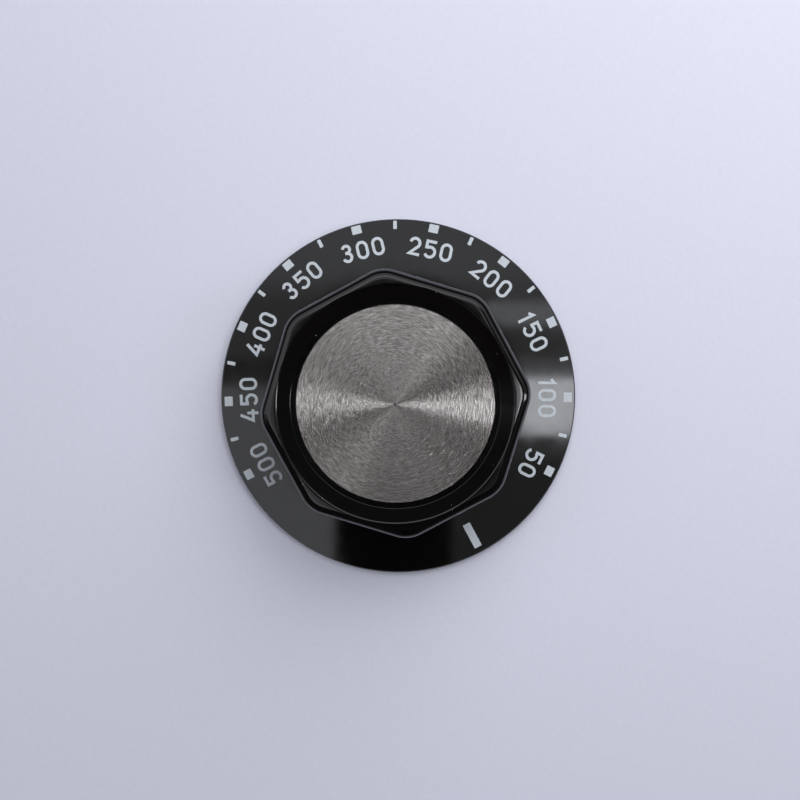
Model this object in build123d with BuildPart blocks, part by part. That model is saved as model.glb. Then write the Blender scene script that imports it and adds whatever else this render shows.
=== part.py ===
from build123d import *
from math import radians, tan
import os

# Oven temperature control knob: an eight-sided moulded grip on a round dial, with a spun aluminium cap.
# Millimetres. +Z points out of the knob's face, the back of the dial lies on z = 0, the pointer faces -Y.

# Dial plate
dial_diameter = 70.0
dial_thickness = 2.0
dial_lip = 1.3
dial_edge_chamfer = 0.25

# Grip, outside
grip_height = 18.0
corner_radius = 6.0
draft_angle = 1.0
outer_edge_fillet = 1.7

# Grip, dished top, from the cap outwards
land_width = 1.0
dish_width = 2.3
dish_slope = 38.0
rim_width = 1.7

# Aluminium cap
cap_diameter = 36.0
cap_thickness = 1.0
cap_proud = 0.2
cap_edge_chamfer = 0.15
cap_clearance = 0.1

# Grip, hollow back
wall = 2.5
roof_thickness = 2.2
rib_thickness = 1.8
rib_lift = 6.5

# Shaft hub: a round mouth, then a D-shaped socket
hub_diameter = 12.0
hub_recess = 0.5
shaft_diameter = 6.0
shaft_across_flat = 4.6
shaft_clearance = 0.05
mouth_clearance = 0.25
mouth_depth = 4.0
hub_roof = 2.0
split_width = 0.9
split_depth = 8.0

# Spring band round the split hub
clip_thickness = 0.6
clip_height = 4.5
clip_groove_depth = 0.3
clip_inset = 1.0
clip_gap = 5.0

# Pegs that hold the dial, their ends formed over into countersinks
peg_from_wall = 3.3
peg_diameter = 2.6
peg_clearance = 0.05
peg_boss_diameter = 5.5
peg_head_diameter = 4.4
peg_head_height = 0.9
peg_recess = 0.1

# Heights and radii that follow from the sizes above
grip_base = dial_thickness
crest_height = grip_base + grip_height
dish_foot_radius = cap_diameter / 2 + land_width
crest_radius = dish_foot_radius + dish_width
draft_spread = grip_height * tan(radians(draft_angle))
base_apothem = crest_radius + rim_width + draft_spread
base_corner_radius = corner_radius + draft_spread
land_height = crest_height - dish_width * tan(radians(dish_slope))
cap_seat_height = land_height + cap_proud - cap_thickness
roof_underside = cap_seat_height - roof_thickness
hub_radius = hub_diameter / 2
bore_radius = shaft_diameter / 2 + shaft_clearance
bore_flat = shaft_across_flat + shaft_clearance - bore_radius
bore_top = roof_underside - hub_roof
mouth_radius = shaft_diameter / 2 + mouth_clearance
clip_seat_radius = hub_radius - clip_groove_depth
clip_bottom = hub_recess + clip_inset
rib_bottom = grip_base + rib_lift
rib_end = base_apothem - wall / 2
peg_position = base_apothem - wall - peg_from_wall
dial_opening_radius = peg_position - peg_head_diameter / 2 - dial_lip
head_slope = (peg_head_diameter / 2 - peg_diameter / 2 - peg_clearance) / peg_head_height
peg_end_radius = peg_head_diameter / 2 - peg_recess * head_slope - peg_clearance

with BuildPart() as grip:
    # Eight-sided body, flats facing the axes, drawn in a little towards the top
    with BuildSketch(Plane.XY.offset(grip_base)) as outline:
        RegularPolygon(base_apothem, 8, major_radius=False, rotation=22.5)
        fillet(outline.vertices(), base_corner_radius)
    extrude(amount=grip_height, taper=draft_angle)

    # Rounded outer edge of the rim
    fillet(grip.faces().sort_by(Axis.Z)[-1].edges(), outer_edge_fillet)

    # Round dish sunk into the top, down to the flat land round the cap
    with BuildSketch(Plane.XZ):
        with BuildLine():
            Polyline(
                (0, crest_height),
                (0, land_height),
                (dish_foot_radius, land_height),
                (crest_radius, crest_height),
                close=True,
            )
        make_face()
    revolve(axis=Axis.Z, mode=Mode.SUBTRACT)

    # Seat of the cap
    with BuildSketch(Plane.XY.offset(cap_seat_height)):
        Circle(cap_diameter / 2 + cap_clearance)
    extrude(amount=cap_thickness, mode=Mode.SUBTRACT)

    # Hollow back
    with BuildSketch(Plane.XY.offset(grip_base)) as hollow:
        RegularPolygon(base_apothem - wall, 8, major_radius=False, rotation=22.5)
        fillet(hollow.vertices(), base_corner_radius - wall)
    extrude(amount=roof_underside - grip_base, taper=draft_angle, mode=Mode.SUBTRACT)

    # Hub, ribs to the wall, and the bosses that stand on the dial
    with BuildSketch(Plane.XY.offset(hub_recess)):
        Circle(hub_radius)
    extrude(amount=roof_underside - hub_recess)
    with BuildSketch(Plane.XY.offset(rib_bottom)):
        with PolarLocations((hub_radius + rib_end) / 2 - 0.5, 4, start_angle=45):
            Rectangle(rib_end - hub_radius + 1.0, rib_thickness)
    extrude(amount=roof_underside - rib_bottom)
    with BuildSketch(Plane.XY.offset(grip_base)):
        with PolarLocations(peg_position, 4, start_angle=45):
            Circle(peg_boss_diameter / 2)
        with PolarLocations((peg_position + rib_end) / 2, 4, start_angle=45):
            Rectangle(rib_end - peg_position, rib_thickness)
    extrude(amount=roof_underside - grip_base)

    # Pegs through the dial, each end formed over into a flat cone
    with BuildSketch(Plane.XY.offset(peg_recess)):
        with PolarLocations(peg_position, 4, start_angle=45):
            Circle(peg_diameter / 2)
    extrude(amount=grip_base - peg_recess)
    with Locations((0, 0, peg_recess)):
        with PolarLocations(peg_position, 4, start_angle=45):
            Cone(
                peg_end_radius,
                peg_diameter / 2,
                peg_head_height - peg_recess,
                align=(Align.CENTER, Align.CENTER, Align.MIN),
            )

    # D-shaped socket, round mouth and the split that lets the hub grip the shaft
    with BuildSketch(Plane.XY.offset(hub_recess)):
        Circle(bore_radius)
        with Locations((0, bore_flat + bore_radius)):
            Rectangle(4 * bore_radius, 2 * bore_radius, mode=Mode.SUBTRACT)
    extrude(amount=bore_top - hub_recess, mode=Mode.SUBTRACT)
    with BuildSketch(Plane.XY.offset(hub_recess)):
        Circle(mouth_radius)
    extrude(amount=mouth_depth, mode=Mode.SUBTRACT)
    with BuildSketch(Plane.XY.offset(hub_recess)):
        with Locations((0, bore_flat - split_width / 2)):
            Rectangle(hub_diameter + 1.0, split_width)
    extrude(amount=split_depth, mode=Mode.SUBTRACT)

    # Groove for the spring band
    with BuildSketch(Plane.XY.offset(clip_bottom)):
        Circle(hub_radius + 0.5)
        Circle(clip_seat_radius, mode=Mode.SUBTRACT)
    extrude(amount=clip_height, mode=Mode.SUBTRACT)

with BuildPart() as dial_plate:
    with BuildSketch():
        Circle(dial_diameter / 2)
        Circle(dial_opening_radius, mode=Mode.SUBTRACT)
        with PolarLocations(peg_position, 4, start_angle=45):
            Circle(peg_diameter / 2 + peg_clearance, mode=Mode.SUBTRACT)
    extrude(amount=dial_thickness)
    outer_edges = dial_plate.edges().filter_by(
        lambda edge: edge.geom_type == GeomType.CIRCLE and edge.radius > dial_diameter / 2 - 0.01
    )
    chamfer(outer_edges, dial_edge_chamfer)
    with PolarLocations(peg_position, 4, start_angle=45):
        Cone(
            peg_head_diameter / 2,
            peg_diameter / 2 + peg_clearance,
            peg_head_height,
            align=(Align.CENTER, Align.CENTER, Align.MIN),
            mode=Mode.SUBTRACT,
        )

with BuildPart() as cap_inlay:
    with BuildSketch(Plane.XY.offset(cap_seat_height)):
        Circle(cap_diameter / 2)
    extrude(amount=cap_thickness)
    chamfer(cap_inlay.faces().sort_by(Axis.Z)[-1].edges(), cap_edge_chamfer)

with BuildPart() as hub_clip:
    with BuildSketch(Plane.XY.offset(clip_bottom)):
        Circle(clip_seat_radius + clip_thickness)
        Circle(clip_seat_radius, mode=Mode.SUBTRACT)
        with Locations((0, -hub_radius)):
            Rectangle(clip_gap, hub_diameter, mode=Mode.SUBTRACT)
    extrude(amount=clip_height)
    end_edges = hub_clip.edges().filter_by(Axis.Z)
    fillet(end_edges, clip_thickness * 0.35)

os.makedirs("parts", exist_ok=True)
grip.part.label = "grip"
dial_plate.part.label = "dial_plate"
cap_inlay.part.label = "cap_inlay"
hub_clip.part.label = "hub_clip"
export_step(grip.part, "parts/grip.step")
export_step(dial_plate.part, "parts/dial_plate.step")
export_step(cap_inlay.part, "parts/cap_inlay.step")
export_step(hub_clip.part, "parts/hub_clip.step")
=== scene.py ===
"""Dressed scene of an oven temperature control knob.

An eight-sided black grip with a spun aluminium cap stands on a round printed dial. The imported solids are
the fixed frame: dial, cap and spring band keep their own shapes and get finishes, the grip gets a finer
skin of the same sizes, and the printed scale is laid on the dial. Sizes are in millimetres, and the factor
MM turns them into metres.
"""

import logging
import math
from abc import ABC, abstractmethod
from dataclasses import dataclass, field
from enum import Enum
from typing import Any, Optional, Sequence

import bmesh
import bpy
import numpy as np
from mathutils import Matrix, Vector


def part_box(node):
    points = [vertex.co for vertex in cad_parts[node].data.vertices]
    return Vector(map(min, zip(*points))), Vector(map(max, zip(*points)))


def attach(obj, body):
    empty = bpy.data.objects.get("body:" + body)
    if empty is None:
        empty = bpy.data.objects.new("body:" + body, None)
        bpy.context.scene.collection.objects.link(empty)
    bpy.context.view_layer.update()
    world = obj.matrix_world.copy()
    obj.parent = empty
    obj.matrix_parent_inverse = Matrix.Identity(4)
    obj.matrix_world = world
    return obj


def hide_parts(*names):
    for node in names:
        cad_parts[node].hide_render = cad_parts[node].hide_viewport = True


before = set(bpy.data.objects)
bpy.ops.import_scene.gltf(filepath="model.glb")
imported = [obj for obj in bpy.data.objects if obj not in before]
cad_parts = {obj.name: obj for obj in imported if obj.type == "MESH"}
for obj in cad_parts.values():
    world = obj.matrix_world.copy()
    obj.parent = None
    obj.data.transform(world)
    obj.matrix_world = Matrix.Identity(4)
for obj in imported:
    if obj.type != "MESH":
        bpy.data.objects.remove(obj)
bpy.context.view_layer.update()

MM = 0.001
WELD = 1e-4 * MM
SHARP_DEGREES = 30.0
NOISE_SPAN = (0.3, 0.7)
BODY = "root"
LOG = logging.getLogger("knob")

Point2 = tuple[float, float]
Colour = tuple[float, float, float, float]
Piece = bpy.types.Object
Tree = bpy.types.NodeTree
Socket = bpy.types.NodeSocket
Inputs = dict[str | int, Any]
Outputs = bpy.types.bpy_prop_collection


def linked(name: str, data: bpy.types.ID) -> Piece:
    """Makes an object and links it to the scene.

    Args:
        name: The object's name.
        data: Its mesh, lamp or camera.

    Returns:
        The new object.
    """
    made = bpy.data.objects.new(name, data)
    bpy.context.scene.collection.objects.link(made)
    return made


def settle(piece: Piece) -> None:
    """Turns a piece's modifiers into its own mesh.

    Args:
        piece: The object, which keeps no modifier.
    """
    result = bpy.data.meshes.new_from_object(piece.evaluated_get(bpy.context.evaluated_depsgraph_get()))
    spent, piece.data = piece.data, result
    piece.modifiers.clear()
    bpy.data.meshes.remove(spent)


def srgb(code: str) -> Colour:
    """Turns an sRGB hex colour into linear light.

    Args:
        code: Six hex digits, with or without a leading hash.

    Returns:
        Linear red, green and blue, and an alpha of 1.
    """
    digits = code.lstrip("#")
    shares = [int(digits[i : i + 2], 16) / 255 for i in (0, 2, 4)]
    linear = [c / 12.92 if c <= 0.04045 else ((c + 0.055) / 1.055) ** 2.4 for c in shares]
    return linear[0], linear[1], linear[2], 1.0


def add(tree: Tree, kind: str, inputs: Optional[Inputs] = None, **settings: Any) -> Outputs:
    """Adds one node with its settings, values and links.

    Args:
        tree: The node tree that takes the node.
        kind: The node's type name.
        inputs: Values or output sockets, by the input's name or number. A list links each of its sockets.
        **settings: The node's own properties.

    Returns:
        The new node's outputs.
    """
    node = tree.nodes.new(kind)
    for name, value in settings.items():
        setattr(node, name, value)
    for key, value in (inputs or {}).items():
        socket = node.inputs[key]
        if isinstance(value, Socket):
            tree.links.new(value, socket)
        elif isinstance(value, list):
            for source in value:
                tree.links.new(source, socket)
        else:
            socket.default_value = value
    return node.outputs


class Turn(Enum):
    """Which way a solid is combined with another."""

    JOIN = "UNION"
    CUT = "DIFFERENCE"


class Mark(Enum):
    """The three kinds of straight mark on the dial."""

    STEP = "scale_steps"
    HALF_STEP = "scale_half_steps"
    POINTER = "scale_pointer"


@dataclass
class Shell:
    """A mesh in the making: points in millimetres and faces by point number."""

    points: list[tuple[float, float, float]] = field(default_factory=list)
    faces: list[tuple[int, ...]] = field(default_factory=list)

    def take(self, other: "Shell") -> "Shell":
        """Adds another shell's points and faces to this one.

        Args:
            other: The shell to add.

        Returns:
            This shell.
        """
        start = len(self.points)
        self.points.extend(other.points)
        self.faces.extend(tuple(i + start for i in face) for face in other.faces)
        return self

    def moved(self, matrix: Matrix) -> "Shell":
        """Returns a copy with its points moved by a matrix in millimetres."""
        return Shell([tuple(matrix @ Vector(p)) for p in self.points], list(self.faces))

    def object(self, name: str, sharp_degrees: float = SHARP_DEGREES) -> Piece:
        """Makes a Blender object of the shell, in metres, at the origin.

        Args:
            name: The object's name.
            sharp_degrees: Edges that turn by more than this stay sharp.

        Returns:
            The linked object, doubles merged and faces pointing outwards.
        """
        mesh = bpy.data.meshes.new(name)
        mesh.from_pydata([tuple(c * MM for c in p) for p in self.points], [], self.faces)
        work = bmesh.new()
        work.from_mesh(mesh)
        bmesh.ops.remove_doubles(work, verts=work.verts, dist=WELD)
        bmesh.ops.recalc_face_normals(work, faces=work.faces)
        work.to_mesh(mesh)
        work.free()
        made = linked(name, mesh)
        smooth(made, sharp_degrees)
        return made


def smooth(piece: Piece, sharp_degrees: float) -> None:
    """Shades a mesh smooth and keeps the edges sharp that turn by more than an angle.

    Args:
        piece: The mesh object.
        sharp_degrees: The angle in degrees.
    """
    piece.data.polygons.foreach_set("use_smooth", [True] * len(piece.data.polygons))
    piece.data.set_sharp_from_angle(angle=math.radians(sharp_degrees))
    piece.data.update()


def bow(centre: Point2, radius: float, first: float, last: float, steps: int = 14) -> tuple[Point2, ...]:
    """Returns the points of an arc, both ends included, by its centre, radius, and angles in degrees."""
    angles = [math.radians(first + (last - first) * i / steps) for i in range(steps + 1)]
    return tuple((centre[0] + radius * math.cos(a), centre[1] + radius * math.sin(a)) for a in angles)


def lofted(start: float, rings: Sequence[Sequence[Sequence[float]]], end: float) -> Shell:
    """Joins rings of as many points each into a shell that is closed on the Z axis.

    Args:
        start: Height of the middle point of the first end.
        rings: The rings in order.
        end: Height of the middle point of the other end.

    Returns:
        The closed shell.
    """
    count = len(rings[0])
    shell = Shell([(0.0, 0.0, start), (0.0, 0.0, end)])
    for ring in rings:
        shell.points.extend(map(tuple, ring))
    rows = range(2, len(shell.points), count)
    for k in range(count):
        j = (k + 1) % count
        shell.faces.append((0, rows[0] + j, rows[0] + k))
        shell.faces.append((1, rows[-1] + k, rows[-1] + j))
        shell.faces.extend((a + k, a + j, b + j, b + k) for a, b in zip(rows, rows[1:]))
    return shell


def turned(profile: Sequence[Point2], segments: int) -> Shell:
    """Turns a profile about the Z axis.

    Args:
        profile: Radius and height of each point, starting and ending on the axis.
        segments: Steps round the axis.

    Returns:
        A closed shell.
    """
    angles = [math.tau * k / segments for k in range(segments)]
    rings = [[(r * math.cos(a), r * math.sin(a), z) for a in angles] for r, z in profile[1:-1]]
    return lofted(profile[0][1], rings, profile[-1][1])


def prism(outline: Sequence[Point2], low: float, high: float) -> Shell:
    """Raises a flat outline between two heights.

    Args:
        outline: Its corners in order.
        low: Height of the lower face.
        high: Height of the upper face.

    Returns:
        A closed shell.
    """
    count = len(outline)
    shell = Shell([(x, y, low) for x, y in outline] + [(x, y, high) for x, y in outline])
    shell.faces.append(tuple(range(count - 1, -1, -1)))
    shell.faces.append(tuple(range(count, 2 * count)))
    shell.faces.extend((i, (i + 1) % count, (i + 1) % count + count, i + count) for i in range(count))
    return shell


def merge(base: Piece, tool: Piece, turn: Turn) -> None:
    """Joins one solid to a base object, or cuts it from it, and welds the thin faces that this leaves.

    Args:
        base: The object whose mesh is changed.
        tool: The other solid, which is used up.
        turn: Whether it is joined or cut.
    """
    step = base.modifiers.new("step", "BOOLEAN")
    step.operation, step.solver, step.object = turn.value, "EXACT", tool
    settle(base)
    work = bmesh.new()
    work.from_mesh(base.data)
    bmesh.ops.remove_doubles(work, verts=work.verts, dist=WELD)
    bmesh.ops.dissolve_degenerate(work, dist=WELD, edges=work.edges)
    work.to_mesh(base.data)
    work.free()
    bpy.data.objects.remove(tool)


def fitted(piece: Piece, slot: str, *nodes: str) -> Piece:
    """Makes a new piece ride on the knob's body.

    Args:
        piece: The finished object.
        slot: The name of the record's material slot, which is only written to the log.
        *nodes: The CAD nodes that it stands for.

    Returns:
        The same object.
    """
    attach(piece, BODY)
    if nodes:
        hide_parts(*nodes)
    LOG.info("%s: %d faces, slot %s", piece.name, len(piece.data.polygons), slot)
    return piece


class Finish(ABC):
    """A real material with the way its surface was made."""

    label: str

    def material(self) -> bpy.types.Material:
        """Builds the material with a fresh shader.

        Returns:
            The material, with its nodes wired.
        """
        made = bpy.data.materials.new(self.label)
        made.use_nodes = True
        tree = made.node_tree
        tree.nodes.clear()
        place = add(tree, "ShaderNodeTexCoord")["Object"]
        shader = add(tree, "ShaderNodeBsdfPrincipled", self.wired(tree, place))
        add(tree, "ShaderNodeOutputMaterial", {"Surface": shader[0]})
        return made

    @abstractmethod
    def wired(self, tree: Tree, place: Socket) -> Inputs:
        """Wires the surface's patterns.

        Args:
            tree: The material's node tree.
            place: The place on the piece, in metres.

        Returns:
            Values and output sockets for the principled shader, by the input's name.
        """

    @staticmethod
    def patches(
        tree: Tree,
        noise: Inputs,
        tones: tuple[str, str],
        rough: Optional[Point2] = None,
        span: Point2 = NOISE_SPAN,
    ) -> Inputs:
        """Wires a surface that changes in patches between two tones, and two roughnesses if they are given.

        Args:
            tree: The material's node tree.
            noise: The inputs of the noise that makes the patches.
            tones: The two colours in hex.
            rough: The two roughnesses.
            span: The values of the noise between which the roughness changes.

        Returns:
            The shader's colour and roughness.
        """
        share = add(tree, "ShaderNodeTexNoise", noise)["Fac"]
        mixed = {0: share, 6: srgb(tones[0]), 7: srgb(tones[1])}
        made = {"Base Color": add(tree, "ShaderNodeMix", mixed, data_type="RGBA")[2]}
        if rough:
            change = {0: share, 1: span[0], 2: span[1], 3: rough[0], 4: rough[1]}
            made["Roughness"] = add(tree, "ShaderNodeMapRange", change)[0]
        return made

    def dress(self, piece: Piece) -> Piece:
        """Puts this finish on a piece, over all of its faces.

        Args:
            piece: The object to dress.

        Returns:
            The same object.
        """
        piece.data.materials.clear()
        piece.data.materials.append(self.material())
        return piece


@dataclass(frozen=True)
class GlossPlate(Finish):
    """Black dial plate with a clear gloss coat, rolled flat.

    It mirrors the room almost like glass, with a faint haze from wiping that softens the mirrored edges.
    """

    label: str = "dial_plate_gloss_coated_black"
    deep: str = "#050505"
    pale: str = "#090909"
    clear: float = 0.03
    hazed: float = 0.075
    haze_span: Point2 = NOISE_SPAN
    haze_mm: float = 5.0
    haze_detail: float = 5.0
    wave_mm: float = 14.0
    wave_detail: float = 0.0
    wave_rise_mm: float = 0.004
    ior: float = 1.56

    def wired(self, tree: Tree, place: Socket) -> Inputs:
        """Wires the haze and the surface's slow unevenness.

        Args:
            tree: The material's node tree.
            place: The place on the piece, in metres.

        Returns:
            Values and output sockets for the principled shader, by the input's name.
        """
        fine = {"Vector": place, "Scale": 1 / (self.haze_mm * MM), "Detail": self.haze_detail}
        slow = {"Vector": place, "Scale": 1 / (self.wave_mm * MM), "Detail": self.wave_detail}
        made = self.patches(tree, fine, (self.deep, self.pale), (self.clear, self.hazed), self.haze_span)
        height = add(tree, "ShaderNodeTexNoise", slow)["Fac"]
        wave = add(tree, "ShaderNodeBump", {"Height": height, "Distance": self.wave_rise_mm * MM})
        return {**made, "Normal": wave[0], "IOR": self.ior}


@dataclass(frozen=True)
class GlossMoulding(GlossPlate):
    """Black phenolic resin pressed in a polished mould.

    It reads as deep black with clear reflections. The resin's flow leaves a slow waviness in them, handling
    leaves a little haze, and a few specks of dust lie on it.
    """

    label: str = "phenolic_moulded_gloss_black"
    deep: str = "#040404"
    pale: str = "#080809"
    clear: float = 0.045
    hazed: float = 0.1
    haze_span: Point2 = (0.3, 0.75)
    haze_mm: float = 2.6
    haze_detail: float = 4.0
    wave_mm: float = 7.0
    wave_detail: float = 1.0
    dust: str = "#C4C1BB"
    dust_cell_mm: float = 2.6
    dust_mm: float = 0.07
    dust_core: float = 0.6

    def wired(self, tree: Tree, place: Socket) -> Inputs:
        """Wires haze and flow as on the plate, and then the dust.

        Args:
            tree: The material's node tree.
            place: The place on the piece, in metres.

        Returns:
            Values and output sockets for the principled shader, by the input's name.
        """
        made = super().wired(tree, place)
        cells = add(tree, "ShaderNodeTexVoronoi", {"Vector": place, "Scale": 1 / (self.dust_cell_mm * MM)})
        reach = self.dust_mm / self.dust_cell_mm
        edge = {0: cells["Distance"], 1: reach * self.dust_core, 2: reach, 3: 1.0, 4: 0.0}
        speck = add(tree, "ShaderNodeMapRange", edge)[0]
        dusty = {0: speck, 6: made["Base Color"], 7: srgb(self.dust)}
        colour = add(tree, "ShaderNodeMix", dusty, data_type="RGBA")
        dull = add(tree, "ShaderNodeMath", {0: made["Roughness"], 1: speck}, operation="MAXIMUM")
        return {**made, "Base Color": colour[2], "Roughness": dull[0]}


@dataclass(frozen=True)
class ScreenInk(Finish):
    """White ink printed through a fine screen.

    It is a satin, slightly bluish white whose cover is a little uneven.
    """

    label: str = "ink_screen_printed_white"
    full: str = "#CDD4DB"
    thin: str = "#B9C1C9"
    full_rough: float = 0.36
    thin_rough: float = 0.5
    mottle_mm: float = 0.35

    def wired(self, tree: Tree, place: Socket) -> Inputs:
        """Wires the ink's uneven cover.

        Args:
            tree: The material's node tree.
            place: The place on the piece, in metres.

        Returns:
            Values and output sockets for the principled shader, by the input's name.
        """
        mottle = {"Vector": place, "Scale": 1 / (self.mottle_mm * MM), "Detail": 3.0}
        return self.patches(tree, mottle, (self.full, self.thin), (self.full_rough, self.thin_rough))


@dataclass(frozen=True)
class SpunAluminium(Finish):
    """Aluminium faced on a lathe.

    The tool leaves fine concentric lines, so light spreads across them into bright and dark wedges that
    meet at the centre. The relief keeps the pitch of real turning lines. The arcs of grain are drawn about
    three times as coarse as real ones, so that they show. Close to the middle the colour is painted darker,
    a painted shade that stands for the shade at the turned centre.
    """

    label: str = "aluminium_spun_fine_lines"
    bright: str = "#D4CFCB"
    dark: str = "#948E8A"
    bright_rough: float = 0.18
    dark_rough: float = 0.22
    spread: float = 1.0
    spread_turn: float = 0.25
    line_mm: float = 0.06
    line_rise_mm: float = 0.009
    grain_mm: float = 0.14
    grain_turn: float = 12.0
    # centre_mm and centre_shade set the size and depth of the painted shade at the turned centre
    centre_mm: float = 0.28
    centre_shade: float = 0.25

    def wired(self, tree: Tree, place: Socket) -> Inputs:
        """Wires the turned lines and their direction.

        Args:
            tree: The material's node tree.
            place: The place on the piece, in metres.

        Returns:
            Values and output sockets for the principled shader, by the input's name.
        """
        axes = add(tree, "ShaderNodeSeparateXYZ", {0: place})
        flat = add(tree, "ShaderNodeCombineXYZ", {0: axes[0], 1: axes[1]})[0]
        radius = add(tree, "ShaderNodeVectorMath", {0: flat}, operation="LENGTH")["Value"]
        heading = add(tree, "ShaderNodeVectorMath", {0: flat}, operation="NORMALIZE")[0]

        def arcs(step_mm: float, turn: float) -> Socket:
            """Makes noise in arcs round the centre.

            Args:
                step_mm: The arcs' width.
                turn: How often they break round the centre, 0 for whole rings.

            Returns:
                The noise.
            """
            spin = {0: heading, 1: (turn, turn, 0.0)}
            way = add(tree, "ShaderNodeVectorMath", spin, operation="MULTIPLY")
            out = add(tree, "ShaderNodeMath", {0: radius, 1: 1 / (step_mm * MM)}, operation="MULTIPLY")
            lift = add(tree, "ShaderNodeCombineXYZ", {2: out[0]})
            both = {0: way[0], 1: lift[0]}
            polar = add(tree, "ShaderNodeVectorMath", both, operation="ADD")[0]
            noise = add(tree, "ShaderNodeTexNoise", {"Vector": polar, "Scale": 1.0, "Detail": 1.0})
            return noise["Fac"]

        lines = arcs(self.line_mm, 0.0)
        grain = arcs(self.grain_mm, self.grain_turn)
        low, high = NOISE_SPAN
        share = add(tree, "ShaderNodeMapRange", {0: grain, 1: low, 2: high, 3: 0.0, 4: 1.0})[0]
        tones = {0: share, 6: srgb(self.dark), 7: srgb(self.bright)}
        metal = add(tree, "ShaderNodeMix", tones, data_type="RGBA")[2]
        # Painted shade: the metal's colour darkens towards the middle, standing for the shade at the turned
        # centre
        centre = self.centre_mm * MM
        shade = {0: radius, 1: centre / 2, 2: centre, 3: self.centre_shade, 4: 1.0}
        painted_centre_shade = add(tree, "ShaderNodeMapRange", shade)[0]
        colour = add(tree, "ShaderNodeVectorMath", {0: metal, "Scale": painted_centre_shade}, operation="SCALE")
        change = {0: grain, 1: low, 2: high, 3: self.dark_rough, 4: self.bright_rough}
        rough = add(tree, "ShaderNodeMapRange", change)
        ridges = add(tree, "ShaderNodeBump", {"Height": lines, "Distance": self.line_rise_mm * MM})
        sides = {0: heading, 1: (0.0, 0.0, 1.0)}
        across = add(tree, "ShaderNodeVectorMath", sides, operation="CROSS_PRODUCT")
        return {
            "Base Color": colour[0],
            "Roughness": rough[0],
            "Normal": ridges[0],
            "Tangent": across[0],
            "Metallic": 1.0,
            "Anisotropic": self.spread,
            "Anisotropic Rotation": self.spread_turn,
        }


@dataclass(frozen=True)
class RolledSpringSteel(Finish):
    """Spring steel strip, rolled and oiled.

    It is a grey, half-bright metal with faint lines along the strip and a brownish cast where oil dried.
    """

    label: str = "spring_steel_rolled"
    bright: str = "#9A9892"
    oiled: str = "#7C756B"
    least_rough: float = 0.22
    most_rough: float = 0.4
    run_mm: float = 3.0
    line_mm: float = 0.12
    stain_mm: float = 2.5

    def wired(self, tree: Tree, place: Socket) -> Inputs:
        """Wires the rolling lines and the oil's stain.

        Args:
            tree: The material's node tree.
            place: The place on the piece, in metres.

        Returns:
            Values and output sockets for the principled shader, by the input's name.
        """
        stain = {"Vector": place, "Scale": 1 / (self.stain_mm * MM), "Detail": 3.0}
        made = self.patches(tree, stain, (self.bright, self.oiled))
        scale = tuple(1 / (size * MM) for size in (self.run_mm, self.run_mm, self.line_mm))
        stretch = add(tree, "ShaderNodeMapping", {"Vector": place, "Scale": scale})[0]
        lines = add(tree, "ShaderNodeTexNoise", {"Vector": stretch, "Scale": 1.0, "Detail": 3.0})["Fac"]
        low, high = NOISE_SPAN
        change = {0: lines, 1: low, 2: high, 3: self.least_rough, 4: self.most_rough}
        rough = add(tree, "ShaderNodeMapRange", change)
        return {**made, "Roughness": rough[0], "Metallic": 1.0}


@dataclass(frozen=True)
class PlainPaper(Finish):
    """Uncoated white paper under the knob, with a faint bluish cast and a fine fibre mottle."""

    label: str = "paper_uncoated_white"
    light: str = "#DADCEA"
    shade: str = "#D2D4E3"
    fibre_mm: float = 0.9
    rough: float = 0.9
    sheen: float = 0.1

    def wired(self, tree: Tree, place: Socket) -> Inputs:
        """Wires the fibre mottle.

        Args:
            tree: The material's node tree.
            place: The place on the piece, in metres.

        Returns:
            Values and output sockets for the principled shader, by the input's name.
        """
        fibre = {"Vector": place, "Scale": 1 / (self.fibre_mm * MM), "Detail": 4.0}
        made = self.patches(tree, fibre, (self.light, self.shade))
        return {**made, "Roughness": self.rough, "Specular IOR Level": self.sheen}


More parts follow.
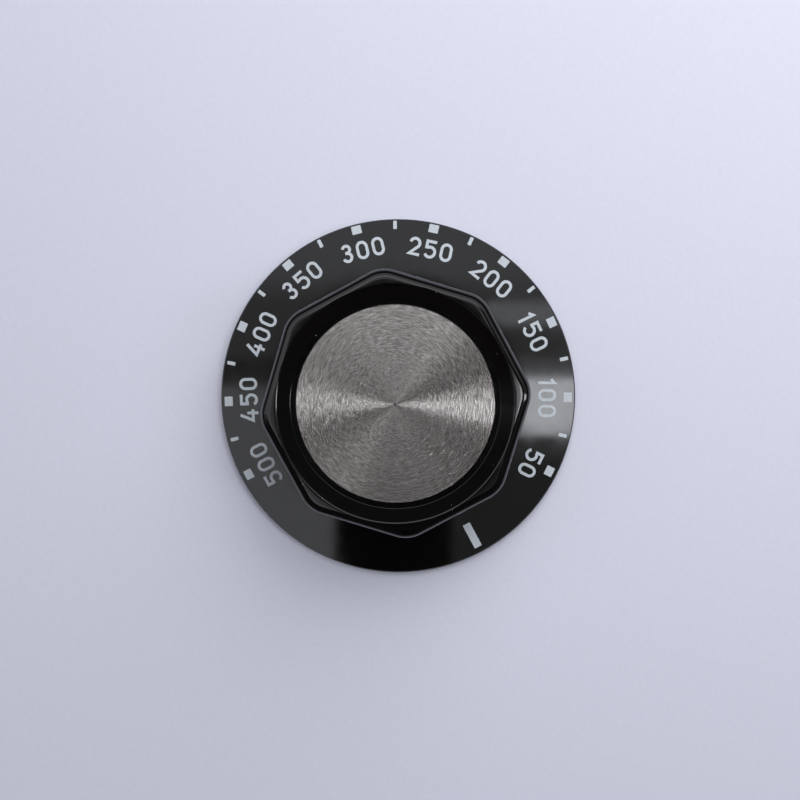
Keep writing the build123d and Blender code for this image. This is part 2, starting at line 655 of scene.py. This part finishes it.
@dataclass
class Grip:
    """The moulded grip: an eight-sided wall, a rounded rim, a round dish and a hollow back with the hub."""

    finish: Finish = field(default_factory=GlossMoulding)
    wall: float = 2.5
    draft_degrees: float = 1.0
    base_corner_radius: float = 6.314
    edge_fillet: float = 1.7
    rim_drop: float = 0.003
    crest_fillet: float = 0.5
    dish_degrees: float = 38.0
    foot_radius: float = 19.0
    foot_fillet: float = 0.15
    cap_proud: float = 0.2
    cap_clearance: float = 0.1
    roof: float = 2.2
    hub_radius: float = 6.0
    hub_bottom: float = 0.5
    groove_radius: float = 5.7
    bore_radius: float = 3.05
    bore_flat: float = 1.6
    bore_depth: float = 12.703
    mouth_radius: float = 3.25
    mouth_depth: float = 4.0
    split_width: float = 0.9
    split_depth: float = 8.0
    rib_thickness: float = 1.8
    rib_lift: float = 6.5
    peg_from_wall: float = 3.3
    peg_radius: float = 1.3
    peg_head_radius: float = 2.056
    peg_head_height: float = 0.9
    peg_recess: float = 0.1
    boss_radius: float = 2.75
    sides: int = 8
    rib_count: int = 4
    first_rib_degrees: float = 45.0
    corner_steps: int = 14
    flat_steps: int = 16
    edge_steps: int = 21
    rim_steps: int = 4
    crest_steps: int = 13
    foot_steps: int = 8
    hub_steps: int = 96
    bore_steps: int = 60
    mouth_steps: int = 72
    boss_steps: int = 48
    peg_steps: int = 40
    sink: float = 0.2
    overlap: float = 1.0

    def __post_init__(self) -> None:
        """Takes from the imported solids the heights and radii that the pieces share."""
        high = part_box("grip")[1] / MM
        cap_low, cap_high = (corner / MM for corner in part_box("cap_inlay"))
        clip_low, clip_high = (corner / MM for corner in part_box("hub_clip"))
        self.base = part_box("dial_plate")[1].z / MM
        self.top = high.z
        self.apothem = high.x
        self.core = self.apothem - self.base_corner_radius
        self.land = cap_high.z - self.cap_proud
        self.seat = cap_low.z
        self.seat_radius = cap_high.x + self.cap_clearance
        self.roof_underside = self.seat - self.roof
        self.groove_low = clip_low.z
        self.groove_high = clip_high.z
        self.peg_place = self.apothem - self.wall - self.peg_from_wall

    def loop(self) -> tuple[np.ndarray, np.ndarray]:
        """Walks once round the eight sides.

        Returns:
            The core corner or edge point of each step, and the outward direction there.
        """
        points: list[Point2] = []
        outward: list[Point2] = []
        turn = math.tau / self.sides
        reach = self.core / math.cos(turn / 2)
        angles = [(k + 0.5) * turn for k in range(self.sides + 1)]
        corners = [(reach * math.cos(a), reach * math.sin(a)) for a in angles]
        for side, (corner, following) in enumerate(zip(corners, corners[1:])):
            for step in range(self.corner_steps + 1):
                angle = (side + step / self.corner_steps) * turn
                points.append(corner)
                outward.append((math.cos(angle), math.sin(angle)))
            for step in range(1, self.flat_steps):
                share = step / self.flat_steps
                points.append(tuple(a + (b - a) * share for a, b in zip(corner, following)))
                outward.append(outward[-1])
        return np.array(points), np.array(outward)

    def skin(self) -> Shell:
        """Builds the outside, the dish and the plain hollow as one closed shell.

        Returns:
            The shell.
        """
        core, outward = self.loop()
        slope = math.tan(math.radians(self.draft_degrees))
        rings: list[np.ndarray] = []

        def sided(inset: float | np.ndarray, height: float | np.ndarray) -> np.ndarray:
            """Makes an eight-sided ring.

            Args:
                inset: How far it lies inside the base outline.
                height: How high it lies.

            Returns:
                Its points.
            """
            reach = np.broadcast_to(self.base_corner_radius - inset, len(core))
            flat = core + reach[:, None] * outward
            return np.column_stack([flat, np.broadcast_to(height, len(core))])

        def hollow(height: float) -> np.ndarray:
            """Returns the ring of the hollow's drafted wall at a height."""
            return sided(self.wall + (height - self.base) * slope, height)

        rings += [hollow(self.roof_underside), hollow(self.base), sided(0.0, self.base)]

        # The outer edge is a ball rolled between wall and rim, the crest one between rim and dish
        draft = math.radians(self.draft_degrees)
        dish = math.radians(self.dish_degrees)
        along, rise = math.cos(dish), math.sin(dish)
        edge, crest = self.edge_fillet, self.crest_fillet
        rim = self.top - self.rim_drop
        edge_height = rim - edge
        edge_inset = (edge_height - self.base) * slope + edge / math.cos(draft)
        edge_radius = np.linalg.norm(sided(edge_inset, rim)[:, :2], axis=1)
        start_radius = self.foot_radius + crest * rise
        start_height = self.land - crest * along
        on_flat = (rim - crest - start_height) / rise

        # Where the rim is narrow the crest meets the outer edge's own rounding
        across, below = start_radius - edge_radius, start_height - edge_height
        half = across * along + below * rise
        on_edge = -half + np.sqrt(np.maximum(half**2 - across**2 - below**2 + (edge - crest) ** 2, 0.0))
        wide = start_radius + on_flat * along <= edge_radius
        way = np.where(wide, on_flat, on_edge)
        crest_radius, crest_height = start_radius + way * along, start_height + way * rise
        lean = np.arctan2(np.maximum(crest_radius - edge_radius, 0.0), crest_height - edge_height)
        for share in np.linspace(0.0, 1.0, self.edge_steps + 1):
            angle = draft + (math.pi / 2 - lean - draft) * share
            rings.append(sided(edge_inset - edge * np.cos(angle), edge_height + edge * np.sin(angle)))
        outer = rings[-1]
        polar = np.arctan2(outer[:, 1], outer[:, 0])

        def circle(radius: float | np.ndarray, height: float | np.ndarray) -> np.ndarray:
            """Makes a round ring whose points lie inside those of the rim's outer edge.

            Args:
                radius: Its radius.
                height: How high it lies.

            Returns:
                Its points.
            """
            level = np.broadcast_to(height, len(polar))
            return np.column_stack([radius * np.cos(polar), radius * np.sin(polar), level])

        # Flat rim, crest, dish and its foot, then the land and the cap's seat
        inner = circle(crest_radius + crest * np.sin(lean), crest_height + crest * np.cos(lean))
        shares = np.linspace(0.0, 1.0, self.rim_steps + 1)[1:]
        rings += [outer + (inner - outer) * share for share in shares]
        for share in np.linspace(0.0, 1.0, self.crest_steps + 1)[1:]:
            angle = -lean + (dish + lean) * share
            rings.append(circle(crest_radius - crest * np.sin(angle), crest_height + crest * np.cos(angle)))
        foot_centre = self.foot_radius - self.foot_fillet * math.tan(dish / 2)
        for angle in np.linspace(dish, 0.0, self.foot_steps + 1):
            height = self.land + self.foot_fillet * (1 - math.cos(angle))
            rings.append(circle(foot_centre + self.foot_fillet * math.sin(angle), height))
        rings += [circle(self.seat_radius, self.land), circle(self.seat_radius, self.seat)]
        return lofted(self.roof_underside, [ring.tolist() for ring in rings], self.seat)

    def hub(self) -> list[Shell]:
        """Builds the hub.

        Returns:
            The hub's solid, grooved for the band, and then the solids cut from it.
        """
        low, high, radius = self.hub_bottom, self.roof_underside + self.sink, self.hub_radius
        waist, under, over = self.groove_radius, self.groove_low, self.groove_high
        groove = [(radius, under), (waist, under), (waist, over), (radius, over)]
        body = [(0.0, low), (radius, low), *groove, (radius, high), (0.0, high)]
        start = math.degrees(math.asin(self.bore_flat / self.bore_radius))
        socket = bow((0.0, 0.0), self.bore_radius, 180.0 - start, 360.0 + start, self.bore_steps)
        mouth = bow((0.0, 0.0), self.mouth_radius, 0.0, 360.0, self.mouth_steps)[:-1]
        reach = radius + self.sink
        split = self.bore_flat - self.split_width
        slot = [(-reach, split), (reach, split), (reach, self.bore_flat), (-reach, self.bore_flat)]
        depths = (self.bore_depth, self.mouth_depth, self.split_depth)
        cuts = zip((socket, mouth, slot), depths)
        solids = [prism(cut, low - self.overlap, low + depth) for cut, depth in cuts]
        return [turned(body, self.hub_steps), *solids]

    def ribs(self) -> list[Shell]:
        """Builds what holds the hub and the dial.

        Returns:
            The four ribs, their webs and bosses, and the pegs with their formed heads.
        """
        half = self.rib_thickness / 2
        end = self.apothem - self.wall / 2
        inside = self.hub_radius - self.overlap
        ceiling = self.roof_underside + self.sink
        base, boss, peg = self.base, self.boss_radius, self.peg_radius
        rib = [(inside, -half), (end, -half), (end, half), (inside, half)]
        web = [(self.peg_place, -half), (end, -half), (end, half), (self.peg_place, half)]
        post = [(0.0, base), (boss, base), (boss, ceiling), (0.0, ceiling)]
        tip, mushroom, neck = self.peg_recess, self.peg_head_radius, base + self.sink
        head = [(0.0, tip), (mushroom, tip), (peg, self.peg_head_height), (peg, neck), (0.0, neck)]
        solids: list[Shell] = []
        for corner in range(self.rib_count):
            degrees = self.first_rib_degrees + 360.0 / self.rib_count * corner
            turn = Matrix.Rotation(math.radians(degrees), 4, "Z")
            place = turn @ Matrix.Translation((self.peg_place, 0.0, 0.0))
            solids.append(prism(rib, base + self.rib_lift, ceiling).moved(turn))
            solids.append(prism(web, base, ceiling).moved(turn))
            solids.append(turned(post, self.boss_steps).moved(place))
            solids.append(turned(head, self.peg_steps).moved(place))
        return solids

    def build(self) -> Piece:
        """Builds, joins and dresses the grip.

        Returns:
            The finished piece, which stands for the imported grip.
        """
        body, *cuts = self.hub()
        core = body.object("hub")
        for turn, solids in ((Turn.CUT, cuts), (Turn.JOIN, self.ribs())):
            for solid in solids:
                merge(core, solid.object("tool"), turn)
        piece = self.skin().object("grip_moulding")
        merge(piece, core, Turn.JOIN)
        smooth(piece, SHARP_DEGREES)
        self.finish.dress(piece)
        return fitted(piece, "grip_black", "grip")


@dataclass(frozen=True)
class Stroke:
    """One pen line of a figure: its middle line, whether it closes on itself, and where it is cut level."""

    path: tuple[Point2, ...]
    closed: bool = False
    lowest: float = -math.inf
    highest: float = math.inf


@dataclass
class PrintedScale:
    """The print on the dial: ten numbers, their step marks, half-step marks and the pointer line."""

    ink: Finish = field(default_factory=ScreenInk)
    first_degrees: float = 305.54
    step_degrees: float = 26.0
    numbers: tuple[str, ...] = ("50", "100", "150", "200", "250", "300", "350", "400", "450", "500")
    register: Point2 = (0.167, 0.322)
    number_radius: float = 29.46
    number_shift: float = 0.2
    figure_height: float = 3.6
    figure_width: float = 2.4
    pen: float = 0.57
    pitch: float = 3.13
    one_pitch: float = 2.42
    mark_outer: float = 34.3
    step_size: Point2 = (1.9, 1.6)
    half_step_size: Point2 = (0.7, 1.6)
    pointer_size: Point2 = (1.55, 5.2)
    pointer_outer: float = 34.1
    pointer_degrees: float = 270.0
    mark_corner: float = 0.12
    mark_corner_steps: int = 4
    one_flag: float = 0.72
    miter: float = 0.45
    sharp_degrees: float = 40.0
    nearest: float = 1e-6
    film: float = 0.03
    bite: float = 0.01

    def __post_init__(self) -> None:
        """Takes the print's height from the dial's face."""
        self.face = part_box("dial_plate")[1].z / MM

    def strokes(self, figure: str) -> tuple[Stroke, ...]:
        """Draws a figure by the middle lines of its strokes, about its own centre.

        Args:
            figure: One of the digits 0 to 5.

        Returns:
            The strokes.
        """
        x = (self.figure_width - self.pen) / 2
        y = (self.figure_height - self.pen) / 2
        foot = -self.figure_height / 2
        top = self.figure_height / 2
        bend = y - x
        if figure == "0":
            loop = bow((0.0, bend), x, 0.0, 180.0) + bow((0.0, -bend), x, 180.0, 360.0)
            return (Stroke(loop, closed=True),)
        if figure == "1":
            return (Stroke(((-self.one_flag, 0.72), (0.0, 1.42), (0.0, foot))),)
        if figure == "2":
            hook = bow((0.0, bend), x, 172.0, -32.0, 20)
            return (Stroke(hook + ((-x + 0.12, -y), (x + 0.28, -y))),)
        if figure == "3":
            upper = bow((0.0, y - 0.7), 0.7, 165.0, -90.0, 20)
            lower = bow((0.0, -y + 0.79), 0.79, 90.0, -165.0, 20)
            waist = y - 1.4
            return (
                Stroke(upper + ((-0.3, waist),), lowest=waist),
                Stroke(((-0.3, waist),) + lower, highest=waist),
            )
        if figure == "4":
            bar = -0.72
            return (
                Stroke(((0.12, top), (-0.98, bar), (1.2, bar))),
                Stroke(((0.5, 0.42), (0.5, bar + self.pen / 2))),
                Stroke(((0.5, bar - self.pen / 2), (0.5, foot))),
            )
        if figure == "5":
            bowl = bow((-0.02, -y + 0.98), 0.98, 118.0, -152.0, 22)
            return (Stroke(((x + 0.14, y), (-0.8, y), (-0.8, 0.33)) + bowl),)
        raise ValueError(f"no strokes for {figure}")

    def ribbon(self, stroke: Stroke) -> Shell:
        """Gives a stroke the pen's width and the ink's thickness.

        Args:
            stroke: The stroke.

        Returns:
            A closed shell that lies on the dial's face, about the figure's centre.
        """
        path = [Vector(p) for p in stroke.path]
        path = [p for i, p in enumerate(path) if i == 0 or (p - path[i - 1]).length > self.nearest]
        if stroke.closed and (path[0] - path[-1]).length < self.nearest:
            path.pop()
        count = len(path)
        shell = Shell()
        for i, here in enumerate(path):
            legs = [here - path[i - 1]] if i or stroke.closed else []
            if i < count - 1 or stroke.closed:
                legs.append(path[(i + 1) % count] - here)
            across = [Vector((-leg.y, leg.x)).normalized() for leg in legs]
            mean = sum(across, Vector((0.0, 0.0))).normalized()
            offset = mean * (self.pen / 2 / max(self.miter, mean.dot(across[0])))
            for side in (here + offset, here - offset):
                level = min(max(side.y, stroke.lowest), stroke.highest)
                shell.points.append((side.x, level, self.face + self.film))
                shell.points.append((side.x, level, self.face - self.bite))
        for i in range(count if stroke.closed else count - 1):
            a, b = 4 * i, 4 * ((i + 1) % count)
            shell.faces += [(a + p, a + q, b + q, b + p) for p, q in ((0, 2), (3, 1), (1, 0), (2, 3))]
        if not stroke.closed:
            end = 4 * (count - 1)
            shell.faces.append((0, 1, 3, 2))
            shell.faces.append((end, end + 2, end + 3, end + 1))
        return shell

    def number(self, text: str, degrees: float) -> Shell:
        """Sets one number straight across its radius, tops outwards.

        Args:
            text: The number.
            degrees: Where it stands round the dial.

        Returns:
            Its ink.
        """
        places = [0.0]
        for figure in text[:-1]:
            places.append(places[-1] + (self.one_pitch if figure == "1" else self.pitch))
        left = places[0] - (self.one_flag if text[0] == "1" else self.figure_width / 2)
        middle = (left + places[-1] + self.figure_width / 2) / 2
        angle = math.radians(degrees)
        reading = Vector((math.sin(angle), -math.cos(angle), 0.0))
        outward = Vector((math.cos(angle), math.sin(angle), 0.0))
        upright = Matrix((reading, outward, Vector((0.0, 0.0, 1.0)))).transposed().to_4x4()
        shell = Shell()
        for figure, place in zip(text, places):
            spot = outward * self.number_radius + reading * (place - middle + self.number_shift)
            spot += Vector((*self.register, 0.0))
            for stroke in self.strokes(figure):
                shell.take(self.ribbon(stroke).moved(Matrix.Translation(spot) @ upright))
        return shell

    def mark_tree(self) -> Tree:
        """Builds the node tree that lays equal marks round the dial.

        Returns:
            The tree, with named inputs for the marks' number, place, size and ink.
        """
        tree = bpy.data.node_groups.new("marks_round_the_dial", "GeometryNodeTree")
        floats = ("First Angle", "Step Angle", "Radius", "Across", "Along", "Corner", "Film")
        kinds = {name: "NodeSocketFloat" for name in floats}
        kinds |= {"Count": "NodeSocketInt", "Centre": "NodeSocketVector", "Ink": "NodeSocketMaterial"}
        for name, kind in kinds.items():
            tree.interface.new_socket(name, in_out="INPUT", socket_type=kind)
        tree.interface.new_socket("Marks", in_out="OUTPUT", socket_type="NodeSocketGeometry")
        given = add(tree, "NodeGroupInput")
        number = add(tree, "GeometryNodeInputIndex")[0]
        swept = add(tree, "ShaderNodeMath", {0: number, 1: given["Step Angle"]}, operation="MULTIPLY")
        turn = {0: swept[0], 1: given["First Angle"]}
        angle = add(tree, "ShaderNodeMath", turn, operation="ADD")[0]
        east = add(tree, "ShaderNodeMath", {0: angle}, operation="COSINE")
        north = add(tree, "ShaderNodeMath", {0: angle}, operation="SINE")
        ray = add(tree, "ShaderNodeCombineXYZ", {0: east[0], 1: north[0]})
        reach = {0: ray[0], "Scale": given["Radius"]}
        spot = add(tree, "ShaderNodeVectorMath", reach, operation="SCALE")[0]
        place = add(tree, "ShaderNodeVectorMath", {0: spot, 1: given["Centre"]}, operation="ADD")[0]
        points = add(tree, "GeometryNodePoints", {"Count": given["Count"], "Position": place})
        size = {"Width": given["Along"], "Height": given["Across"]}
        outline = add(tree, "GeometryNodeCurvePrimitiveQuadrilateral", size)[0]
        corner = {"Curve": outline, "Radius": given["Corner"], "Count": self.mark_corner_steps}
        rounded = add(tree, "GeometryNodeFilletCurve", corner, mode="POLY")
        sheet = add(tree, "GeometryNodeFillCurve", {"Curve": rounded[0]}, mode="NGONS")[0]
        raised = add(tree, "GeometryNodeExtrudeMesh", {"Mesh": sheet, "Offset Scale": given["Film"]})
        under = add(tree, "GeometryNodeFlipFaces", {"Mesh": sheet})
        block = add(tree, "GeometryNodeJoinGeometry", {0: [raised["Mesh"], under[0]]})
        weld = {"Geometry": block[0], "Distance": WELD}
        closed = add(tree, "GeometryNodeMergeByDistance", weld)[0]
        facing = add(tree, "ShaderNodeCombineXYZ", {2: angle})[0]
        each = {"Points": points[0], "Instance": closed, "Rotation": facing}
        laid = add(tree, "GeometryNodeInstanceOnPoints", each)
        real = add(tree, "GeometryNodeRealizeInstances", {"Geometry": laid[0]})[0]
        inked = add(tree, "GeometryNodeSetMaterial", {"Geometry": real, "Material": given["Ink"]})
        add(tree, "NodeGroupOutput", {0: inked[0]})
        return tree

    def marks(self, tree: Tree, kind: Mark, ink: bpy.types.Material) -> Piece:
        """Lays one kind of mark with the node tree and turns it into a plain mesh.

        Args:
            tree: The tree from mark_tree.
            kind: Which marks.
            ink: Their material.

        Returns:
            The finished object.
        """
        count = len(self.numbers)
        between = self.first_degrees + self.step_degrees / 2
        size, outer, first, number = {
            Mark.STEP: (self.step_size, self.mark_outer, self.first_degrees, count),
            Mark.HALF_STEP: (self.half_step_size, self.mark_outer, between, count - 1),
            Mark.POINTER: (self.pointer_size, self.pointer_outer, self.pointer_degrees, 1),
        }[kind]
        host = linked(kind.value, bpy.data.meshes.new(kind.value))
        maker = host.modifiers.new("marks", "NODES")
        maker.node_group = tree
        values = {
            "Count": number,
            "First Angle": math.radians(first),
            "Step Angle": math.radians(self.step_degrees),
            "Radius": (outer - size[1] / 2) * MM,
            "Across": size[0] * MM,
            "Along": size[1] * MM,
            "Corner": self.mark_corner * MM,
            "Centre": [c * MM for c in (*self.register, self.face - self.bite)],
            "Film": (self.film + self.bite) * MM,
            "Ink": ink,
        }
        for item in tree.interface.items_tree:
            if item.in_out == "INPUT":
                maker[item.identifier] = values[item.name]
        settle(host)
        return host

    def build(self) -> list[Piece]:
        """Prints the whole scale.

        Returns:
            The printed pieces.
        """
        shell = Shell()
        for step, text in enumerate(self.numbers):
            shell.take(self.number(text, self.first_degrees + step * self.step_degrees))
        numbers = self.ink.dress(shell.object("scale_numbers", self.sharp_degrees))
        ink = numbers.data.materials[0]
        tree = self.mark_tree()
        pieces = [numbers] + [self.marks(tree, kind, ink) for kind in Mark]
        return [fitted(piece, "dial_print") for piece in pieces]


@dataclass
class DressedSolid:
    """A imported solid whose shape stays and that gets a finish."""

    node: str
    finish: Finish

    def build(self) -> Piece:
        """Dresses the solid.

        Returns:
            Its object.
        """
        piece = self.finish.dress(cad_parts[self.node])
        LOG.info("%s: packed solid dressed in %s", self.node, self.finish.label)
        return piece


class Measure(Enum):
    """What a direction of the surround is measured by."""

    ACROSS = "across"
    UPWARD = "upward"
    AWAY = "away"
    AZIMUTH = "azimuth"


@dataclass(frozen=True)
class Ramp:
    """A smooth change of light from low to high, as a direction's measure goes from start to end."""

    measure: Measure
    start: float
    end: float
    low: float
    high: float


Area = tuple[Ramp, ...]


@dataclass(frozen=True)
class Panel:
    """A panel of the surround: its edges by direction, the width of its soft edge and its light."""

    left: float
    right: float
    low: float
    high: float
    soft: float
    level: float

    def ramps(self) -> Area:
        """Works out the panel's edges.

        Returns:
            Its four edges, of which the first carries its light.
        """
        half = self.soft / 2
        return (
            Ramp(Measure.ACROSS, self.left - half, self.left + half, 0.0, self.level),
            Ramp(Measure.ACROSS, self.right - half, self.right + half, 1.0, 0.0),
            Ramp(Measure.UPWARD, self.low - half, self.low + half, 0.0, 1.0),
            Ramp(Measure.UPWARD, self.high - half, self.high + half, 1.0, 0.0),
        )


@dataclass
class Surround:
    """The studio that the gloss mirrors, by direction: across is to the image's right, up to its top.

    Directions are given by their flat parts, from -1 to 1, so that straight overhead is 0, 0. Away and
    azimuth are measured about the direction that a level face mirrors into the camera. The ceiling is dim
    overhead and brighter towards the image's top, with a far glow above the dark horizon.
    """

    right: Vector
    up: Vector
    view: Point2 = (-0.026, -0.07)
    room: str = "#3A3331"
    white: str = "#F6F9FF"
    backdrop: str = "#E6E8F0"
    overhead: Area = (Ramp(Measure.AWAY, 0.19, 0.21, 0.42, 0.0),)
    top: Area = (
        Ramp(Measure.UPWARD, 0.03, 0.07, 0.0, 0.45),
        Ramp(Measure.AWAY, 0.2, 0.25, 1.0, 0.0),
    )
    sky: Area = (
        Ramp(Measure.AZIMUTH, 0.62, 0.95, 0.0, 1.7),
        Ramp(Measure.AZIMUTH, 1.95, 2.3, 1.0, 0.66),
        Ramp(Measure.AZIMUTH, 2.9, 3.14, 1.0, 0.4),
        Ramp(Measure.AWAY, 0.2, 0.28, 0.0, 1.0),
        Ramp(Measure.AWAY, 0.5, 0.56, 1.0, 0.0),
    )
    far: Area = (
        Ramp(Measure.AWAY, 0.5, 0.56, 0.0, 0.85),
        Ramp(Measure.AWAY, 0.86, 0.92, 1.0, 0.0),
        Ramp(Measure.UPWARD, -0.35, -0.1, 0.0, 1.0),
        Ramp(Measure.AZIMUTH, 0.3, 0.75, 0.35, 1.0),
    )
    bright_panels: tuple[Panel, ...] = (
        Panel(0.1, 0.172, -0.107, -0.047, 0.009, 7.0),
        Panel(0.53, 0.84, -0.18, -0.05, 0.03, 8.0),
        Panel(0.07, 0.165, 0.008, 0.034, 0.01, 1.25),
        Panel(0.1, 0.18, -0.049, -0.026, 0.01, 0.4),
        Panel(-0.23, -0.09, -0.27, -0.055, 0.012, 0.65),
        Panel(-0.55, -0.22, -0.12, -0.05, 0.02, 0.8),
    )
    dark_disc: Area = (Ramp(Measure.AWAY, 0.127, 0.139, 0.97, 0.0),)
    dark_cards: tuple[Panel, ...] = (
        Panel(-0.23, -0.12, -0.053, -0.026, 0.008, 0.55),
        Panel(-0.09, 0.035, -0.9, -0.125, 0.014, 0.97),
        Panel(0.035, 0.3, -0.9, -0.13, 0.03, 0.5),
    )

    def build(self) -> None:
        """Builds the world's nodes."""
        world = bpy.data.worlds.new("soft_studio")
        bpy.context.scene.world = world
        world.use_nodes = True
        tree = world.node_tree
        tree.nodes.clear()
        ray = add(tree, "ShaderNodeTexCoord")["Generated"]
        across, upward = (
            add(tree, "ShaderNodeVectorMath", {0: ray, 1: way}, operation="DOT_PRODUCT")["Value"]
            for way in (self.right, self.up)
        )
        flat = add(tree, "ShaderNodeCombineXYZ", {0: across, 1: upward})[0]
        start = (*self.view, 0.0)
        aside = add(tree, "ShaderNodeVectorMath", {0: flat, 1: start}, operation="SUBTRACT")[0]
        parts = add(tree, "ShaderNodeSeparateXYZ", {0: aside})
        away = add(tree, "ShaderNodeVectorMath", {0: aside}, operation="LENGTH")["Value"]
        azimuth = add(tree, "ShaderNodeMath", {0: parts[1], 1: parts[0]}, operation="ARCTAN2")[0]
        measures = dict(zip(Measure, (across, upward, away, azimuth)))

        def joined(operation: str, values: Sequence[Socket]) -> Socket:
            """Joins sockets one after the other by one operation.

            Args:
                operation: The operation's name.
                values: The sockets.

            Returns:
                The result.
            """
            result = values[0]
            for value in values[1:]:
                result = add(tree, "ShaderNodeMath", {0: result, 1: value}, operation=operation)[0]
            return result

        def area(ramps: Area) -> Socket:
            """Wires one area of the surround.

            Args:
                ramps: Its ramps.

            Returns:
                Its light, which is the product of the ramps.
            """
            edges = []
            for ramp in ramps:
                inputs = {0: measures[ramp.measure], 1: ramp.start, 2: ramp.end, 3: ramp.low, 4: ramp.high}
                edges += [add(tree, "ShaderNodeMapRange", inputs, interpolation_type="SMOOTHSTEP")[0]]
            return joined("MULTIPLY", edges)

        panels = [panel.ramps() for panel in self.bright_panels]
        cards = [card.ramps() for card in self.dark_cards]
        bright = (self.overhead, self.top, self.sky, self.far, *panels)
        light = joined("ADD", [area(ramps) for ramps in bright])
        cover = joined("MAXIMUM", [area(ramps) for ramps in (self.dark_disc, *cards)])
        clear = add(tree, "ShaderNodeMath", {0: 1.0, 1: cover}, operation="SUBTRACT")[0]
        white, room = srgb(self.white)[:3], srgb(self.room)[:3]
        glow = add(tree, "ShaderNodeVectorMath", {0: white, "Scale": light}, operation="SCALE")[0]
        whole = add(tree, "ShaderNodeVectorMath", {0: glow, 1: room}, operation="ADD")[0]
        total = add(tree, "ShaderNodeVectorMath", {0: whole, "Scale": clear}, operation="SCALE")[0]
        seen = add(tree, "ShaderNodeLightPath")["Is Camera Ray"]
        mixed = {0: seen, 6: total, 7: srgb(self.backdrop)}
        colour = add(tree, "ShaderNodeMix", mixed, data_type="RGBA")[2]
        background = add(tree, "ShaderNodeBackground", {"Color": colour})
        add(tree, "ShaderNodeOutputWorld", {"Surface": background[0]})


@dataclass
class Studio:
    """Paper floor, one soft lamp, the surround and the camera of a product photograph taken from above."""

    paper: Finish = field(default_factory=PlainPaper)
    heading_degrees: float = 28.25
    camera_right: float = 4.68
    camera_up: float = 12.77
    camera_height: float = 185.9
    lens: float = 42.01
    sensor: float = 36.0
    clip_start: float = 10.0
    aim_right: float = 0.5
    aim_up: float = -0.36
    floor_side: float = 4000.0
    floor_gap: float = 0.1
    lamp_power: float = 1.55
    lamp_side: float = 400.0
    lamp_place: tuple[float, float, float] = (148.0, 275.0, 228.0)

    def __post_init__(self) -> None:
        """Works out which model directions lie to the right and to the top of the image."""
        angle = math.radians(self.heading_degrees)
        self.right = Vector((math.cos(angle), -math.sin(angle), 0.0))
        self.up = Vector((math.sin(angle), math.cos(angle), 0.0))

    def floor(self) -> Piece:
        """Lays the paper just under the dial's back.

        Returns:
            The paper.
        """
        half = self.floor_side / 2
        corners = [(-half, -half), (half, -half), (half, half), (-half, half)]
        sheet = Shell([(x, y, -self.floor_gap) for x, y in corners], [(0, 1, 2, 3)]).object("paper_floor")
        self.paper.dress(sheet)
        return sheet

    def lamp(self) -> Piece:
        """Hangs the soft lamp towards the image's upper right.

        Returns:
            The lamp.
        """
        light = bpy.data.lights.new("soft_lamp", "AREA")
        light.shape = "SQUARE"
        light.size = self.lamp_side * MM
        light.energy = self.lamp_power
        hung = linked("soft_lamp", light)
        x, y, z = self.lamp_place
        hung.location = (self.right * x + self.up * y + Vector((0.0, 0.0, z))) * MM
        hung.rotation_euler = (-hung.location).to_track_quat("-Z", "Y").to_euler()
        hung.visible_glossy = False
        return hung

    def camera(self) -> Piece:
        """Sets the camera above the knob, a little to the dial's upper right.

        Returns:
            The camera.
        """
        data = bpy.data.cameras.new("camera")
        data.lens = self.lens
        data.sensor_width = self.sensor
        data.clip_start = self.clip_start * MM
        made = linked("camera", data)
        place = (self.right * self.camera_right + self.up * self.camera_up) * MM
        place.z = self.camera_height * MM
        aim = (self.right * self.aim_right + self.up * self.aim_up) * MM
        aim.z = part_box("dial_plate")[1].z
        forward = (aim - place).normalized()
        right = forward.cross(self.up).normalized()
        up = right.cross(forward)
        turn = Matrix((right, up, -forward)).transposed().to_4x4()
        made.matrix_world = Matrix.Translation(place) @ turn
        bpy.context.scene.camera = made
        return made

    def build(self) -> None:
        """Builds floor, lamp, surround and camera."""
        bpy.context.scene.view_settings.view_transform = "Standard"
        self.floor()
        self.lamp()
        Surround(self.right, self.up).build()
        self.camera()


def main() -> None:
    """Builds every sub-assembly in order and reports each piece."""
    logging.basicConfig(level=logging.INFO, format="%(message)s")
    Studio().build()
    DressedSolid("dial_plate", GlossPlate()).build()
    DressedSolid("cap_inlay", SpunAluminium()).build()
    DressedSolid("hub_clip", RolledSpringSteel()).build()
    Grip().build()
    PrintedScale().build()


if __name__ == "__main__":
    main()
